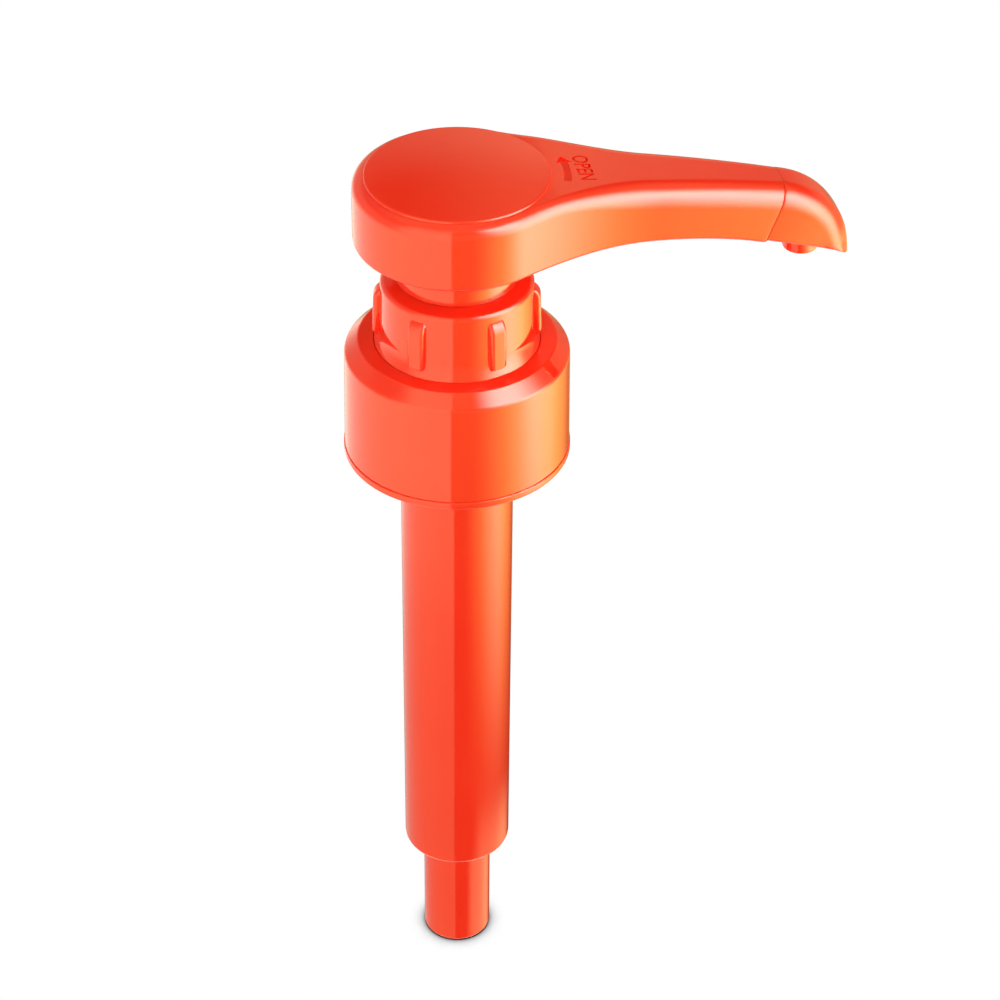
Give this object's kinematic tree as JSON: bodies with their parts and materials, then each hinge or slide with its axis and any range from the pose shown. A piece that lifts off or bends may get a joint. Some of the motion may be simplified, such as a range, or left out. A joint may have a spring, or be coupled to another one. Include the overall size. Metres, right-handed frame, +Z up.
{
  "type": "syrup pump",
  "caption": "Screw-down bottle pump with a round thumb head, a curved drooping spout, a ribbed lock collar, a smooth screw cap and a long cylinder with a dip-tube foot.",
  "frame": {"origin": "on the pump's axis, in the plane of the gasket's sealing face, where the rim of the bottle's neck meets it", "axes": "+Z up along the pump's axis, towards the head; +X along the spout, from the axis towards the tip"},
  "size_m": [0.1017, 0.046, 0.1987],
  "materials": {
    "shell_plastic": "polished moulding",
    "inner_plastic": "as moulded",
    "seal_rubber": "soft, matt",
    "spring_steel": "drawn wire",
    "ball_glass": "polished"
  },
  "bodies": {
    "pump_body": {"cylinder": "shell_plastic", "neck_gasket": "seal_rubber", "lock_collar": "shell_plastic", "stem_guide": "inner_plastic", "stem_wiper": "seal_rubber", "ball_cage": "inner_plastic"},
    "closure": {"closure_cap": "shell_plastic", "cap_sleeve": "shell_plastic"},
    "piston": {"piston_seal": "seal_rubber", "return_spring": "spring_steel"},
    "plunger": {"head": "shell_plastic", "spout_tip": "shell_plastic", "stem": "shell_plastic", "piston_core": "inner_plastic", "piston_retainer": "inner_plastic"},
    "inlet_valve": {"inlet_ball": "ball_glass"},
    "outlet_valve": {"outlet_ball": "ball_glass"}
  },
  "joints": [
    {"name": "closure_turn", "type": "hinge", "parent": "pump_body", "child": "closure", "pos_m": [0, 0, 0], "axis": [0, 0, 1], "continuous": true},
    {"name": "plunger_slide", "type": "slide", "parent": "pump_body", "child": "piston", "axis": [0, 0, 1], "range_m": [0, 0.064], "deforming": ["return_spring"]},
    {"name": "head_turn", "type": "hinge", "parent": "piston", "child": "plunger", "pos_m": [0, 0, 0], "axis": [0, 0, 1], "continuous": true},
    {"name": "inlet_lift", "type": "slide", "parent": "pump_body", "child": "inlet_valve", "axis": [0, 0, 1], "range_m": [0, 0.003]},
    {"name": "outlet_lift", "type": "slide", "parent": "plunger", "child": "outlet_valve", "axis": [0, 0, 1], "range_m": [0, 0.003]}
  ]
}
